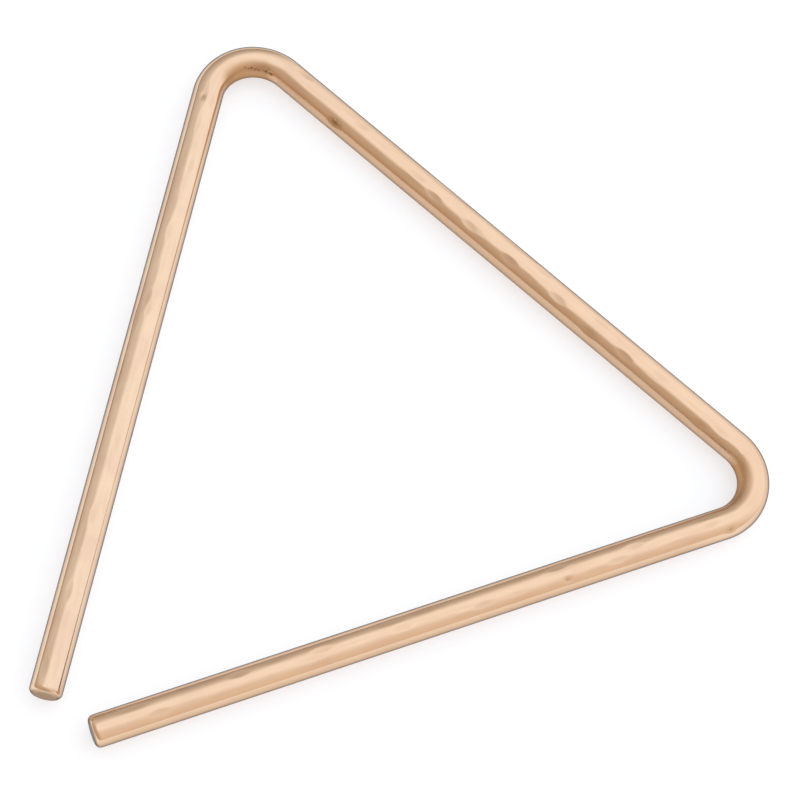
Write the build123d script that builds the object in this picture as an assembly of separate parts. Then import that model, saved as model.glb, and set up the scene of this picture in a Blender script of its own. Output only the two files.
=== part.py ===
from build123d import *
import os
from math import cos, radians, sin, sqrt, tan

# Hand-hammered bronze triangle: one round bar, bent twice, open at its third corner.
# Frame: millimetres, lying flat as on a table, +Z up. The lower leg runs along X, the top bend points to +Y,
# and the origin is under the middle of the outline, on the surface that the bar lies on.

# Bar
bar_diameter = 9.0
bar_radius = bar_diameter / 2
end_round = 1.6

# Triangle, measured on the bar's centreline between the sharp corners that the bends round off
closed_side = 218.0
top_angle = 60.0
right_angle = 62.5
half_turn = 180.0
bend_radius = 14.0

# How far each free leg stops short of the open corner, where the two would meet
left_stop = 16.0
lower_stop = 17.0

# Hammer blows on the faces that lie up and down on the anvil, each leaning a little to one side.
# A crowned hammer leaves a shallow dish, longer along the bar than across it.
hammer_crown_radius = 40.0
blow_depth = 0.15
blow_pitch = 11.0
blow_lean = 28.0
lean_step_share = 0.618034
blow_overrun = 0.15
grip_band = 9.0

# The free legs follow from the closed side by the sine rule
open_angle = half_turn - top_angle - right_angle
side_ratio = closed_side / sin(radians(open_angle))
left_leg = side_ratio * sin(radians(right_angle)) - left_stop
lower_leg = side_ratio * sin(radians(top_angle)) - lower_stop

# Directions of the closed side and the left leg, turned from the lower leg's line
right_heading = half_turn - right_angle
left_heading = right_heading + half_turn - top_angle


def heading(degrees):
    """Unit vector in the triangle's plane."""
    return Vector(cos(radians(degrees)), sin(radians(degrees)))


# Corners and free ends of the centreline, from the right corner at the start
right_corner = Vector(0, 0)
top_corner = right_corner + heading(right_heading) * closed_side
left_end = top_corner + heading(left_heading) * left_leg
lower_end = right_corner + heading(half_turn) * lower_leg

# Length that each bend takes from the legs beside it
top_setback = bend_radius / tan(radians(top_angle / 2))
right_setback = bend_radius / tan(radians(right_angle / 2))


def plain_bar():
    """The bent bar before hammering: a round section carried round the two bends, its ends rounded over."""
    route = FilletPolyline(left_end, top_corner, right_corner, lower_end, radius=bend_radius)
    section = Plane(origin=route @ 0, z_dir=route % 0) * Circle(bar_radius)
    bar = sweep(section, path=route)
    end_faces = bar.faces().filter_by(GeomType.PLANE)
    return fillet(end_faces.edges(), end_round)


# The hammer's crowned face, tip down at the origin
crown_height = blow_depth + blow_overrun
crown_reach = sqrt(hammer_crown_radius**2 - (hammer_crown_radius - crown_height) ** 2)
crown_ball = Pos(0, 0, hammer_crown_radius) * Sphere(hammer_crown_radius)
hammer_face = split(crown_ball, bisect_by=Plane.XY.offset(crown_height), keep=Keep.BOTTOM)


def blows_on(start, degrees, length, plain_middle, leg):
    """Hammer faces sunk into one straight length, by turns from above and from below, no two legs alike."""
    along = heading(degrees)
    across = heading(degrees + half_turn / 2)
    usable = length - 2 * crown_reach
    count = int(usable / blow_pitch)
    spacing = usable / count
    faces = []
    for number in range(count + 1):
        station = crown_reach + number * spacing
        if plain_middle and abs(station - length / 2) < grip_band / 2:
            continue
        lean = blow_lean * (2 * ((number + leg / 3) * lean_step_share % 1) - 1)
        turn = radians(half_turn / 2 + half_turn * (number % 2) + lean)
        outward = across * cos(turn) + Vector(0, 0, 1) * sin(turn)
        sunk = start + along * station + outward * (bar_radius - blow_depth)
        faces.append(Plane(origin=sunk, x_dir=along, z_dir=outward) * hammer_face)
    return faces


left_length = left_leg - top_setback - end_round
right_length = closed_side - top_setback - right_setback
lower_length = lower_leg - right_setback - end_round
left_start = top_corner + heading(left_heading) * top_setback
right_start = right_corner + heading(right_heading) * right_setback
lower_start = right_corner + heading(half_turn) * right_setback

blows = blows_on(left_start, left_heading, left_length, True, 0)
blows += blows_on(right_start, right_heading, right_length, False, 1)
blows += blows_on(lower_start, half_turn, lower_length, False, 2)

bar = plain_bar() - blows

# Seat the bar on the surface, centred under its outline
outline = plain_bar().bounding_box()
bar = Pos(-outline.center().X, -outline.center().Y, bar_radius) * bar

os.makedirs("parts", exist_ok=True)
export_step(bar, "parts/bar.step")
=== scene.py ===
"""Hand-hammered bronze triangle, lying on a pale studio floor."""

from math import cos, pi, radians, sin, sqrt, tan
from random import Random

import bmesh
import bpy
import numpy as np
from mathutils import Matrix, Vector


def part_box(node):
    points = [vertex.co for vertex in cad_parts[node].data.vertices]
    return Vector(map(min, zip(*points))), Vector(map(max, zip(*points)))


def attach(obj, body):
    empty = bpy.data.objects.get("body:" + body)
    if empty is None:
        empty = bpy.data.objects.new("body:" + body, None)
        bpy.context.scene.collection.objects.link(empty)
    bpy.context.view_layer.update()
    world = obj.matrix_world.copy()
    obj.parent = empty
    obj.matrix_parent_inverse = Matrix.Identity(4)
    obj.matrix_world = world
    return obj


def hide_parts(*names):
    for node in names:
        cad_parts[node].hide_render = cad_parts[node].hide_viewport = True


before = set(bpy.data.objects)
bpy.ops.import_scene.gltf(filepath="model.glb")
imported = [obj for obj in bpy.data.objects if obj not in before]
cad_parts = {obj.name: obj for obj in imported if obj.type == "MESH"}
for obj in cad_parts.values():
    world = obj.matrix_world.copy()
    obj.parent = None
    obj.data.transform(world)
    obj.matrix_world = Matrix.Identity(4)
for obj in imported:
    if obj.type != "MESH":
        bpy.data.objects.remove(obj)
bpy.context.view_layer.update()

MM = 0.001

# Bar
bar_radius = 4.5 * MM
end_round = 1.6 * MM
end_land = 0.4 * MM

# Triangle, on the bar's centreline between the sharp corners that the bends round off
closed_side = 218.0 * MM
top_angle = 60.0
right_angle = 62.5
bend_radius = 14.0 * MM
left_stop = 16.0 * MM
lower_stop = 17.0 * MM

# The free legs follow from the closed side by the sine rule, and each bend takes length from its legs
open_angle = 180 - top_angle - right_angle
side_ratio = closed_side / sin(radians(open_angle))
left_leg = side_ratio * sin(radians(right_angle)) - left_stop
lower_leg = side_ratio * sin(radians(top_angle)) - lower_stop
top_turn = 180 - top_angle
right_turn = 180 - right_angle
top_setback = bend_radius / tan(radians(top_angle / 2))
right_setback = bend_radius / tan(radians(right_angle / 2))

# Mesh
bar_sides = 96
bend_steps = 72
end_round_steps = 7
coarse_cuts = 17
fine_cuts = 14
long_edge = 5.0 * MM
merge_distance = 0.001 * MM

# Hammer blows on the faces that lie up and down on the anvil, each leaning a little to one side
hammer_crown_radius = 40.0 * MM
blow_depth = 0.15 * MM
blow_pitch = 11.0 * MM
blow_lean = 28.0
lean_step_share = 0.618034
blow_overrun = 0.15 * MM
blow_rim = 0.02 * MM

# The leg, counted from the left one, that has no such blow over a length about its middle
plain_leg = 0
plain_band = 9.0 * MM

# How far a blow works along the bar, as a share of its hammer's radius, and on what depth of the bar,
# as a share of the bar's radius
blow_reach_share = 0.3
bar_reach_share = 1.05

# Light blows of the flatter finishing hammer, between a shallowest and a deepest
light_crown_radius = 150.0 * MM
light_pitch = 6.0 * MM
light_shallow = 0.05 * MM
light_deep = 0.09 * MM
light_lean = 35.0
chance_seed = 11

# The marks that stand out one by one: millimetres along the leg from a bend, degrees round the bar,
# and depth and radius of what made the mark in millimetres
left_marks = ((4, 99, 0.28, 5), (74, 90, 0.16, 40))
right_marks = (
    (11, 43, 0.16, 30), (40, 60, 0.19, 30), (52, 43, 0.16, 30), (65, 66, 0.21, 30),
    (83, 60, 0.21, 30), (98, 66, 0.21, 30), (112, 62, 0.19, 30), (149, 36, 0.30, 14),
)
lower_marks = ((0, 44, 0.26, 5), (34, 69, 0.14, 40), (49, 58, 0.26, 5))

# Pits where the metal was squeezed inside the top bend: degrees round the bend, degrees round the bar
# from the bend's outside, and radius in millimetres
pits = (
    (87, 139, 0.5), (82, 144, 0.5), (77, 143, 0.65), (72, 148, 0.5), (69, 145, 0.5), (65, 150, 0.55),
    (57, 146, 0.45), (53, 149, 0.6), (50, 138, 0.4), (47, 149, 0.5), (43, 151, 0.65),
)
pit_depth_share = 0.45
usual_pit_radius = 0.5 * MM

# Flanks on each stretch of the bar that are rougher and carry painted shade, which darkens the floor's
# reflection in them: where the inner one starts, as a share of the bar's radius, and how much of the
# inner and of the outer one shows
left_rough_and_shade = (0.72, 0.2, 0.0)
top_bend_rough_and_shade = (0.78, 0.8, 0.0)
right_rough_and_shade = (0.78, 1.0, 0.0)
right_bend_rough_and_shade = (0.7, 1.0, 0.0)
lower_rough_and_shade = (0.56, 0.3, 0.7)
outer_rough_and_shade_from = 0.76
rough_and_shade_blend = 0.14
rough_and_shade_fade = 15.0 * MM

# Bronze, from its browner to its paler clouds, and the warmer tone that it takes on past the top bend
bronze_tints = (
    (0.3, (0.84, 0.59, 0.43, 1)), (0.5, (0.885, 0.645, 0.465, 1)), (0.7, (0.91, 0.68, 0.475, 1)),
)
cloud_scale = 110.0
cloud_detail = 4.0
cloud_range = (0.3, 0.7)
warm_tone = (0.88, 0.60, 0.40, 1)
warm_run = (170.0 * MM, 260.0 * MM)
warm_share = 0.55

# Brown streaks, and the finer lines that polishing left, both drawn out along the bar
streak_scale = (70, 700, 700)
streak_detail = 4.0
streak_range = (0.45, 0.72)
streak_tone = (0.70, 0.45, 0.26, 1)
streak_share = 0.2
line_scale = (60, 2600, 2600)
line_detail = 3.0
line_strength = 0.12
line_depth = 0.02 * MM

# Tones that follow a value kept on the bar's points: its name, the range in which the tone sets in,
# the tone, and how much of it shows at most
bronze_tones = (
    # Painted shade in the hammer dents, going to deep brown in the small deep ones
    ("hollow", 0.1, 1.2, (0.72, 0.48, 0.31, 1), 0.45),
    ("hollow", 1.35, 1.9, (0.35, 0.19, 0.08, 1), 0.65),
    ("bent", 0, 1, (0.86, 0.58, 0.38, 1), 0.25),
    # Painted shade on the flanks, darkening the floor's reflection in them
    ("rough_painted_shade_flank", 0, 1, (0.54, 0.33, 0.18, 1), 0.45),
    # Painted shade on the rounding of each end, darkening the floor's reflection there
    ("cut_end", 0.66, 0.84, (0.46, 0.29, 0.16, 1), 0.6),
    ("cut_end", 0.96, 1.0, (0.92, 0.63, 0.40, 1), 1),
    # Painted shade in the crease inside each bend, which is also rougher there
    ("inside_bend", 0.2, 0.8, (0.55, 0.30, 0.13, 1), 0.8),
    # Painted shade at the bottoms of the pits inside the top bend
    ("pitted", 0.2, 0.8, (0.30, 0.15, 0.05, 1), 0.9),
)

# Roughness: the polished bar's least and most, and for each dull place the value that it follows,
# the range in which the dullness sets in, and its most
polished_least = 0.05
polished_most = 0.13
dull_places = (
    ("inside_bend", 0.1, 0.8, 0.45),
    ("rough_painted_shade_flank", 0, 1, 0.38),
    ("cut_end", 0.72, 0.9, 0.22),
)

# Lacquer, and the dark tone that the metal takes on where it is seen edge on
edge_tone = (0.0, 0.05, 0.12, 1)
lacquer_weight = 0.3
lacquer_roughness = 0.03
lacquer_ior = 1.5

# Floor, in metres, and the light that keeps it white
floor_size = 16.0
floor_rim = 0.3
floor_colour = (0.62, 0.635, 0.66, 1)
lift_colour = (0.92, 0.955, 1.0, 1)
lift_level = 0.565

# Camera at the photograph's place, its lens and film in millimetres
lens_length = 121.5
film_width = 36
camera_place = (-164.217 * MM, -288.13 * MM, 688.35 * MM)
camera_turn = (radians(24.2045), radians(-6.1787), radians(-21.0611))

# Sockets of a Mix node that are for colours
mix_amount = 0
mix_first = 6
mix_second = 7
mix_result = 2


def heading(degrees):
    """Unit vector in the triangle's plane."""
    return Vector((cos(radians(degrees)), sin(radians(degrees)), 0))


# Corners and free ends of the centreline, set so that the bar fills the box of its CAD node
right_heading = 180 - right_angle
left_heading = right_heading + top_turn
lower_heading = 180
low_corner, high_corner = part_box("bar")
right_outside = Vector((high_corner.x, low_corner.y, bar_radius))
right_bend = right_outside + Vector((-1, 1, 0)) * (bend_radius + bar_radius)
right_corner = right_bend + Vector((right_setback, -bend_radius, 0))
top_corner = right_corner + heading(right_heading) * closed_side
left_end = top_corner + heading(left_heading) * left_leg
lower_end = right_corner + heading(lower_heading) * lower_leg

# Where the bends start and end, and the centre of the top one
left_start = top_corner + heading(left_heading) * top_setback
right_top = top_corner - heading(right_heading) * top_setback
right_start = right_corner + heading(right_heading) * right_setback
lower_start = right_corner + heading(lower_heading) * right_setback
top_bend = left_start + heading(left_heading + 90) * bend_radius

# Straight lengths that are hammered
left_length = left_leg - top_setback - end_round
right_length = closed_side - top_setback - right_setback
lower_length = lower_leg - right_setback - end_round
legs = (
    (left_start, left_heading, left_length),
    (right_start, right_heading, right_length),
    (lower_start, lower_heading, lower_length),
)
leg_marks = (left_marks, right_marks, lower_marks)


def push(route):
    """Extrude the selected end of the bar straight on."""
    bpy.ops.mesh.extrude_region_move(TRANSFORM_OT_translate={"value": route})


def swing(centre, degrees):
    """Carry the selected end of the bar round a bend."""
    bpy.ops.mesh.spin(steps=bend_steps, angle=radians(degrees), center=centre, axis=(0, 0, 1))


def is_end(face):
    """Whether a face is one of the bar's two cut ends."""
    return len(face.verts) == bar_sides


def is_long(edge):
    """Whether an edge still runs too far along a leg."""
    return edge.calc_length() > long_edge


def select_in_bar(bar, kind, test):
    """Select in edit mode the faces or the edges that pass a test."""
    bpy.ops.mesh.select_all(action="DESELECT")
    shape = bmesh.from_edit_mesh(bar.data)
    items = shape.faces if kind == "faces" else shape.edges
    for item in items:
        item.select_set(test(item))
    shape.select_flush_mode()
    bmesh.update_edit_mesh(bar.data)


def bent_bar():
    """The plain bar: its end face pushed along the legs and swung round the bends, its ends rounded."""
    bpy.ops.object.select_all(action="DESELECT")
    bpy.ops.mesh.primitive_circle_add(
        vertices=bar_sides, radius=bar_radius, fill_type="NGON", location=left_end,
        rotation=(pi / 2, 0, radians(left_heading) + pi / 2),
    )
    bar = bpy.context.object
    bar.name = "hammered_bar"
    bpy.ops.object.transform_apply(location=True, rotation=True, scale=True)

    bpy.ops.object.mode_set(mode="EDIT")
    bpy.ops.mesh.select_mode(type="FACE")
    bpy.ops.mesh.select_all(action="SELECT")
    push(left_start - left_end)
    swing(top_bend, top_turn)
    push(right_start - right_top)
    swing(right_bend, right_turn)
    push(lower_end - lower_start)
    bpy.ops.mesh.select_all(action="SELECT")
    bpy.ops.mesh.remove_doubles(threshold=merge_distance)
    bpy.ops.mesh.normals_make_consistent(inside=False)

    select_in_bar(bar, "faces", is_end)
    bpy.ops.mesh.bevel(offset=end_round, segments=end_round_steps, affect="EDGES", profile=0.5)
    select_in_bar(bar, "faces", is_end)
    bpy.ops.mesh.inset(thickness=end_land)
    for cuts in (coarse_cuts, fine_cuts):
        select_in_bar(bar, "edges", is_long)
        bpy.ops.mesh.subdivide(number_cuts=cuts)
    bpy.ops.object.mode_set(mode="OBJECT")
    return bar


def points_of(bar):
    """Places of the bar's points, one row each."""
    places = np.empty(len(bar.data.vertices) * 3)
    bar.data.vertices.foreach_get("co", places)
    return places.reshape(-1, 3)


def note(bar, name, values, kind="FLOAT"):
    """Keep a value for each point of the bar, for its finish to read."""
    layer = bar.data.attributes.new(name, kind, "POINT")
    field = "vector" if kind == "FLOAT_VECTOR" else "value"
    layer.data.foreach_set(field, np.asarray(values, dtype=np.float32).ravel())


def along_leg(places, start, degrees):
    """Each point's run along a straight leg and its distance to the outer side."""
    offset = places - np.array(start)
    run = offset @ np.array(heading(degrees))
    side = offset @ np.array(heading(degrees + 90))
    return run, side


def round_bend(places, start, centre):
    """Each point's run along a bend's centreline and its distance to the outer side."""
    spoke = places[:, :2] - np.array(centre.xy)
    first = np.array((start - centre).xy)
    swept = np.arctan2(first[0] * spoke[:, 1] - first[1] * spoke[:, 0], spoke @ first)
    side = np.hypot(spoke[:, 0], spoke[:, 1]) - bend_radius
    return -swept * bend_radius, side


def rough_and_shaded_flanks(run, side, inner_from, inner_share, outer_share):
    """How much each point of a stretch is roughened and darkened by painted shade, on its inner and on
    its outer flank.
    """
    inner = np.clip((-side / bar_radius - inner_from) / rough_and_shade_blend, 0, 1)
    outer = np.clip((side / bar_radius - outer_rough_and_shade_from) / rough_and_shade_blend, 0, 1)
    fading_in = np.clip(run / rough_and_shade_fade, 0, 1)
    return inner_share * inner + outer_share * fading_in * outer


def unbend(bar):
    """Note where each point lay before the bar was bent, and how near it is to a bend, flank or end."""
    places = points_of(bar)
    nearest = np.full(len(places), np.inf)
    straight = np.zeros_like(places)
    inside = np.zeros(len(places))
    rough_painted_shade_flank = np.zeros(len(places))
    bent = np.zeros(len(places))
    rise = places[:, 2] - bar_radius
    run_before = 0.0
    stretches = (
        (left_end, left_heading + 180, left_leg - top_setback, None, left_rough_and_shade),
        (left_start, None, bend_radius * radians(top_turn), top_bend, top_bend_rough_and_shade),
        (right_top, right_heading + 180, right_length, None, right_rough_and_shade),
        (right_start, None, bend_radius * radians(right_turn), right_bend, right_bend_rough_and_shade),
        (lower_start, lower_heading, lower_leg - right_setback, None, lower_rough_and_shade),
    )
    for start, degrees, length, centre, rough_and_shade in stretches:
        if centre is None:
            run, side = along_leg(places, start, degrees)
            bending = np.zeros(len(places))
        else:
            run, side = round_bend(places, start, centre)
            # Full over the middle half of the bend, and fading to nothing at its two ends
            bending = np.clip(2 - 2 * abs(2 * run / length - 1), 0, 1)
        away = np.hypot(side, rise) + abs(run - np.clip(run, 0, length))
        closer = away < nearest
        nearest[closer] = away[closer]
        straight[closer] = np.stack((run_before + run, side, rise), axis=1)[closer]
        inside[closer] = (bending * np.clip(-side / bar_radius, 0, 1))[closer]
        rough_painted_shade_flank[closer] = rough_and_shaded_flanks(run, side, *rough_and_shade)[closer]
        bent[closer] = bending[closer]
        run_before += length
    note(bar, "straight", straight, "FLOAT_VECTOR")
    note(bar, "inside_bend", inside)
    note(bar, "rough_painted_shade_flank", rough_painted_shade_flank)
    note(bar, "bent", bent)
    to_end = np.minimum(straight[:, 0], run_before - straight[:, 0])
    note(bar, "cut_end", np.clip(1 - to_end / end_round, 0, 1))


def blows_on(start, degrees, length, leg):
    """Hammer blows on one straight length, by turns from above and from below."""
    sunk = blow_depth + blow_overrun
    reach = sqrt(2 * hammer_crown_radius * sunk - sunk**2)
    usable = length - 2 * reach
    count = int(usable / blow_pitch)
    blows = []
    for number in range(count + 1):
        station = reach + number * usable / count
        if leg == plain_leg and abs(station - length / 2) < plain_band / 2:
            continue
        lean = blow_lean * (2 * ((number + leg / 3) * lean_step_share % 1) - 1)
        turn = 90 + 180 * (number % 2) + lean
        blows.append((start, degrees, station, turn, blow_depth, hammer_crown_radius))
    return blows


def light_blows_on(start, degrees, length, chance):
    """Shallow blows of uneven depth over the upper and lower faces of one straight length."""
    blows = []
    for number in range(int(length / light_pitch)):
        station = (number + chance.random()) * light_pitch
        turn = 90 + 180 * (number % 2) + chance.uniform(-light_lean, light_lean)
        depth = chance.uniform(light_shallow, light_deep)
        blows.append((start, degrees, station, turn, depth, light_crown_radius))
    return blows


def marks_on(start, degrees, marks):
    """The marks that stand out on one leg."""
    blows = []
    for station, turn, depth, crown in marks:
        blows.append((start, degrees, station * MM, turn, depth * MM, crown * MM))
    return blows


def sink(places, start, degrees, station, turn, depth, crown):
    """Press one blow of a crowned hammer in: points under its ball drop to it, over a soft rim."""
    along = np.array(heading(degrees))
    across = np.array(heading(degrees + 90))
    axis = np.array(start)
    offset = places - axis
    run = offset @ along
    side = offset @ across
    rise = offset[:, 2]
    radius = np.hypot(side, rise)
    in_reach = abs(run - station) < blow_reach_share * crown
    in_bar = (radius > 0) & (radius < bar_reach_share * bar_radius)
    near = np.flatnonzero(in_reach & in_bar)
    round_bar = np.arctan2(rise[near], side[near]) - radians(turn)
    ball = bar_radius - depth + crown
    inside = crown**2 - (run[near] - station) ** 2 - (ball * np.sin(round_bar)) ** 2
    facing = (inside > 0) & (np.cos(round_bar) > 0)
    near, round_bar, inside = near[facing], round_bar[facing], inside[facing]
    dish = ball * np.cos(round_bar) - np.sqrt(inside)
    gap = radius[near] - dish
    drop = np.where(gap > 0, gap, 0)
    soft = blow_rim * np.exp(-abs(gap) / blow_rim) / 2
    share = 1 - (drop + soft) / radius[near]
    centre = axis + np.outer(run[near], along)
    places[near] = centre + (places[near] - centre) * share[:, None]


def prick(places, degrees, turn, radius):
    """Press one small pit into the inside of the top bend."""
    spoke = np.array(heading(degrees))
    outward = spoke * cos(radians(turn)) + np.array((0, 0, sin(radians(turn))))
    centre = np.array(top_bend) + spoke * bend_radius
    mouth = centre + outward * bar_radius
    reach = np.linalg.norm(places - mouth, axis=1) / (radius * MM)
    depth = pit_depth_share * radius * MM * np.clip(1 - reach**2, 0, 1) ** 2
    places -= depth[:, None] * outward


def hammer(bar):
    """Sink all the blows and pits into the bent bar, and note how deep each point was pressed."""
    places = points_of(bar)
    before = places.copy()
    chance = Random(chance_seed)
    blows = []
    for number, leg in enumerate(legs):
        blows += blows_on(*leg, number)
    for leg in legs:
        blows += light_blows_on(*leg, chance)
    for leg, marks in zip(legs, leg_marks):
        blows += marks_on(*leg[:2], marks)
    for blow in blows:
        sink(places, *blow)
    hammered = places.copy()
    for pit in pits:
        prick(places, *pit)
    bar.data.vertices.foreach_set("co", places.ravel())
    bar.data.update()
    usual_pit_depth = pit_depth_share * usual_pit_radius
    note(bar, "hollow", np.linalg.norm(hammered - before, axis=1) / blow_depth)
    note(bar, "pitted", np.linalg.norm(places - hammered, axis=1) / usual_pit_depth)


def noted(tree, name, output="Fac"):
    """A value that was kept on the bar's points."""
    source = tree.nodes.new("ShaderNodeAttribute")
    source.attribute_name = name
    return source.outputs[output]


def spread(tree, value, low, high, to_low, to_high):
    """A value carried from one range to another."""
    scale = tree.nodes.new("ShaderNodeMapRange")
    scale.inputs["From Min"].default_value = low
    scale.inputs["From Max"].default_value = high
    scale.inputs["To Min"].default_value = to_low
    scale.inputs["To Max"].default_value = to_high
    tree.links.new(value, scale.inputs["Value"])
    return scale.outputs["Result"]


def combined(tree, operation, first, second):
    """Two values made into one."""
    step = tree.nodes.new("ShaderNodeMath")
    step.operation = operation
    tree.links.new(first, step.inputs[0])
    tree.links.new(second, step.inputs[1])
    return step.outputs[0]


def colour_mix(tree, first, amount):
    """A mix that leaves one colour by an amount, its second colour still open."""
    mix = tree.nodes.new("ShaderNodeMix")
    mix.data_type = "RGBA"
    tree.links.new(amount, mix.inputs[mix_amount])
    tree.links.new(first, mix.inputs[mix_first])
    return mix


def toned(tree, colour, tone, amount):
    """A colour that leans to a fixed tone."""
    mix = colour_mix(tree, colour, amount)
    mix.inputs[mix_second].default_value = tone
    return mix.outputs[mix_result]


def blended(tree, first, second, amount):
    """One colour giving way to another."""
    mix = colour_mix(tree, first, amount)
    tree.links.new(second, mix.inputs[mix_second])
    return mix.outputs[mix_result]


def ramped(tree, value, steps):
    """Colour by a value, through steps of position and colour."""
    ramp = tree.nodes.new("ShaderNodeValToRGB")
    stops = ramp.color_ramp.elements
    stops[0].position, stops[0].color = steps[0]
    stops[1].position, stops[1].color = steps[-1]
    for position, colour in steps[1:-1]:
        stops.new(position).color = colour
    tree.links.new(value, ramp.inputs["Fac"])
    return ramp.outputs["Color"]


def clouded(tree, places, scale, detail):
    """Soft random clouds."""
    clouds = tree.nodes.new("ShaderNodeTexNoise")
    clouds.inputs["Scale"].default_value = scale
    clouds.inputs["Detail"].default_value = detail
    tree.links.new(places, clouds.inputs["Vector"])
    return clouds.outputs["Fac"]


def drawn_out(tree, scale, detail):
    """Clouds drawn out to streaks along the bar, as it was before it was bent."""
    grain = tree.nodes.new("ShaderNodeMapping")
    grain.inputs["Scale"].default_value = scale
    tree.links.new(noted(tree, "straight", "Vector"), grain.inputs["Vector"])
    return clouded(tree, grain.outputs["Vector"], 1.0, detail)


def bronze_colour(tree, clouds):
    """Cloudy bronze, streaked along the bar, with painted shade in the hollows, pits and bend creases,
    on the flanks and round the ends.
    """
    along = tree.nodes.new("ShaderNodeSeparateXYZ")
    tree.links.new(noted(tree, "straight", "Vector"), along.inputs[0])
    warmth = spread(tree, along.outputs["X"], *warm_run, 0, warm_share)
    colour = toned(tree, ramped(tree, clouds, bronze_tints), warm_tone, warmth)
    streaks = spread(tree, drawn_out(tree, streak_scale, streak_detail), *streak_range, 0, streak_share)
    colour = toned(tree, colour, streak_tone, streaks)
    for name, low, high, tone, most in bronze_tones:
        colour = toned(tree, colour, tone, spread(tree, noted(tree, name), low, high, 0, most))
    return colour


def bronze_dullness(tree, clouds):
    """Roughness: uneven over the polished bar, and more where polishing hardly reaches."""
    dullness = spread(tree, clouds, *cloud_range, polished_least, polished_most)
    for name, low, high, most in dull_places:
        dull = spread(tree, noted(tree, name), low, high, polished_least, most)
        dullness = combined(tree, "MAXIMUM", dullness, dull)
    return dullness


def polished_bronze():
    """Lacquered bronze, polished over its hammer marks, with fine lines along the bar."""
    bronze = bpy.data.materials.new("polished_bronze")
    bronze.use_nodes = True
    tree = bronze.node_tree
    link = tree.links.new
    shader = tree.nodes["Principled BSDF"]
    shader.inputs["Metallic"].default_value = 1.0
    shader.inputs["Specular Tint"].default_value = edge_tone
    shader.inputs["Coat Weight"].default_value = lacquer_weight
    shader.inputs["Coat Roughness"].default_value = lacquer_roughness
    shader.inputs["Coat IOR"].default_value = lacquer_ior

    places = tree.nodes.new("ShaderNodeTexCoord")
    clouds = clouded(tree, places.outputs["Object"], cloud_scale, cloud_detail)
    link(bronze_colour(tree, clouds), shader.inputs["Base Color"])
    link(bronze_dullness(tree, clouds), shader.inputs["Roughness"])

    bump = tree.nodes.new("ShaderNodeBump")
    bump.inputs["Strength"].default_value = line_strength
    bump.inputs["Distance"].default_value = line_depth
    link(drawn_out(tree, line_scale, line_detail), bump.inputs["Height"])
    link(bump.outputs["Normal"], shader.inputs["Normal"])
    return bronze


def floor_white():
    """Matt white that stays white to the camera and in the metal, and still takes the bar's shadow."""
    paint = bpy.data.materials.new("floor_white")
    paint.use_nodes = True
    tree = paint.node_tree
    link = tree.links.new
    tree.nodes.clear()
    output = tree.nodes.new("ShaderNodeOutputMaterial")
    matt = tree.nodes.new("ShaderNodeBsdfDiffuse")
    matt.inputs["Color"].default_value = floor_colour
    lift = tree.nodes.new("ShaderNodeEmission")
    lift.inputs["Color"].default_value = lift_colour
    rays = tree.nodes.new("ShaderNodeLightPath").outputs
    seen = combined(tree, "MAXIMUM", rays["Is Camera Ray"], rays["Is Glossy Ray"])
    seen = combined(tree, "MAXIMUM", seen, rays["Is Transmission Ray"])
    link(spread(tree, seen, 0, 1, 0, lift_level), lift.inputs["Strength"])
    both = tree.nodes.new("ShaderNodeAddShader")
    link(matt.outputs[0], both.inputs[0])
    link(lift.outputs[0], both.inputs[1])
    link(both.outputs[0], output.inputs["Surface"])
    return paint


def studio_floor():
    """Pale floor with its edges turned up."""
    bpy.ops.object.select_all(action="DESELECT")
    bpy.ops.mesh.primitive_plane_add(size=floor_size, location=(0, 0, 0))
    floor = bpy.context.object
    floor.name = "studio_floor"
    bpy.ops.object.mode_set(mode="EDIT")
    bpy.ops.mesh.select_mode(type="EDGE")
    bpy.ops.mesh.select_all(action="SELECT")
    bpy.ops.mesh.extrude_edges_move(TRANSFORM_OT_translate={"value": (0, 0, floor_rim)})
    bpy.ops.object.mode_set(mode="OBJECT")
    floor.data.materials.append(floor_white())


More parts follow.
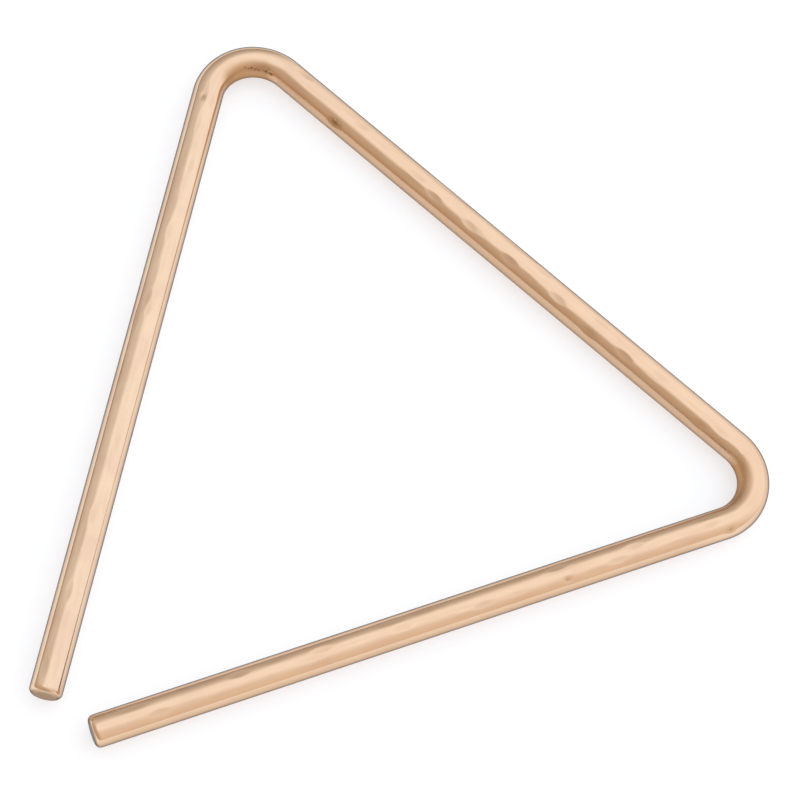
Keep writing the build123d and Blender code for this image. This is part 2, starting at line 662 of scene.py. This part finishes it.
def studio_world():
    """Soft surroundings: bright overhead and to the right, dimmer in front, dim and warm on the left."""
    world = bpy.data.worlds.new("studio")
    bpy.context.scene.world = world
    world.use_nodes = True
    tree = world.node_tree
    link = tree.links.new
    places = tree.nodes.new("ShaderNodeTexCoord")
    height = tree.nodes.new("ShaderNodeSeparateXYZ")
    link(places.outputs["Generated"], height.inputs[0])

    def share(direction, low, high):
        """How far the surroundings lie in a direction, from 0 at the low value to 1 at the high one."""
        lean = tree.nodes.new("ShaderNodeVectorMath")
        lean.operation = "DOT_PRODUCT"
        lean.inputs[1].default_value = direction
        link(places.outputs["Generated"], lean.inputs[0])
        fade = tree.nodes.new("ShaderNodeMapRange")
        fade.interpolation_type = "SMOOTHSTEP"
        fade.inputs["From Min"].default_value = low
        fade.inputs["From Max"].default_value = high
        link(lean.outputs["Value"], fade.inputs["Value"])
        return fade.outputs["Result"]

    def by_height(*steps):
        """Colour by height above the horizon."""
        return ramped(tree, height.outputs["Z"], steps)

    around = by_height(
        (0.0, (0.10, 0.09, 0.08, 1)), (0.09, (0.20, 0.19, 0.18, 1)), (0.16, (0.60, 0.58, 0.55, 1)),
        (0.27, (0.71, 0.70, 0.68, 1)), (1.0, (0.78, 0.76, 0.73, 1)),
    )
    back = by_height(
        (0.0, (0.30, 0.28, 0.26, 1)), (0.09, (0.42, 0.40, 0.37, 1)), (0.16, (0.48, 0.45, 0.42, 1)),
        (0.35, (0.52, 0.49, 0.46, 1)), (1.0, (0.78, 0.76, 0.73, 1)),
    )
    front = by_height(
        (0.0, (0.79, 0.69, 0.59, 1)), (0.5, (0.83, 0.75, 0.68, 1)), (1.0, (0.87, 0.83, 0.79, 1)),
    )
    left = by_height(
        (0.0, (0.40, 0.30, 0.20, 1)), (0.06, (0.48, 0.37, 0.27, 1)), (0.22, (0.53, 0.42, 0.32, 1)),
        (0.62, (0.60, 0.51, 0.42, 1)), (1.0, (0.64, 0.56, 0.48, 1)),
    )
    bright = by_height(
        (0.0, (0.70, 0.68, 0.67, 1)), (0.06, (0.88, 0.87, 0.86, 1)),
        (0.12, (1.05, 1.07, 1.10, 1)), (1.0, (1.05, 1.07, 1.10, 1)),
    )
    high_right = (0.72, -0.15, 0.68)
    near_right = (0.40, -0.917, 0)
    behind = (0.30, 0.954, 0)
    in_front = (0, -1, 0)
    on_left = (-0.96, -0.28, 0)

    overhead = combined(tree, "MULTIPLY", share(high_right, 0.12, 0.52), share(near_right, -0.65, -0.24))
    overhead = combined(tree, "MULTIPLY", overhead, share(behind, -0.7, -0.05))
    dim = blended(tree, around, back, share(behind, 0.5, 0.9))
    dim = blended(tree, dim, front, share(in_front, 0.2, 0.7))
    dim = blended(tree, dim, left, share(on_left, 0.1, 0.7))
    link(blended(tree, dim, bright, overhead), tree.nodes["Background"].inputs["Color"])


def photo_camera():
    """Camera at the photograph's place, seen through a long lens."""
    lens = bpy.data.cameras.new("photo_camera")
    lens.lens = lens_length
    lens.sensor_width = film_width
    camera = bpy.data.objects.new("photo_camera", lens)
    bpy.context.collection.objects.link(camera)
    camera.location = camera_place
    camera.rotation_euler = camera_turn
    bpy.context.scene.camera = camera


bar = bent_bar()
unbend(bar)
hammer(bar)
bpy.ops.object.select_all(action="DESELECT")
bar.select_set(True)
bpy.context.view_layer.objects.active = bar
bpy.ops.object.shade_smooth()
bar.data.materials.append(polished_bronze())
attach(bar, "root")
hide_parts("bar")

studio_floor()
studio_world()
photo_camera()
bpy.context.scene.view_settings.view_transform = "Standard"
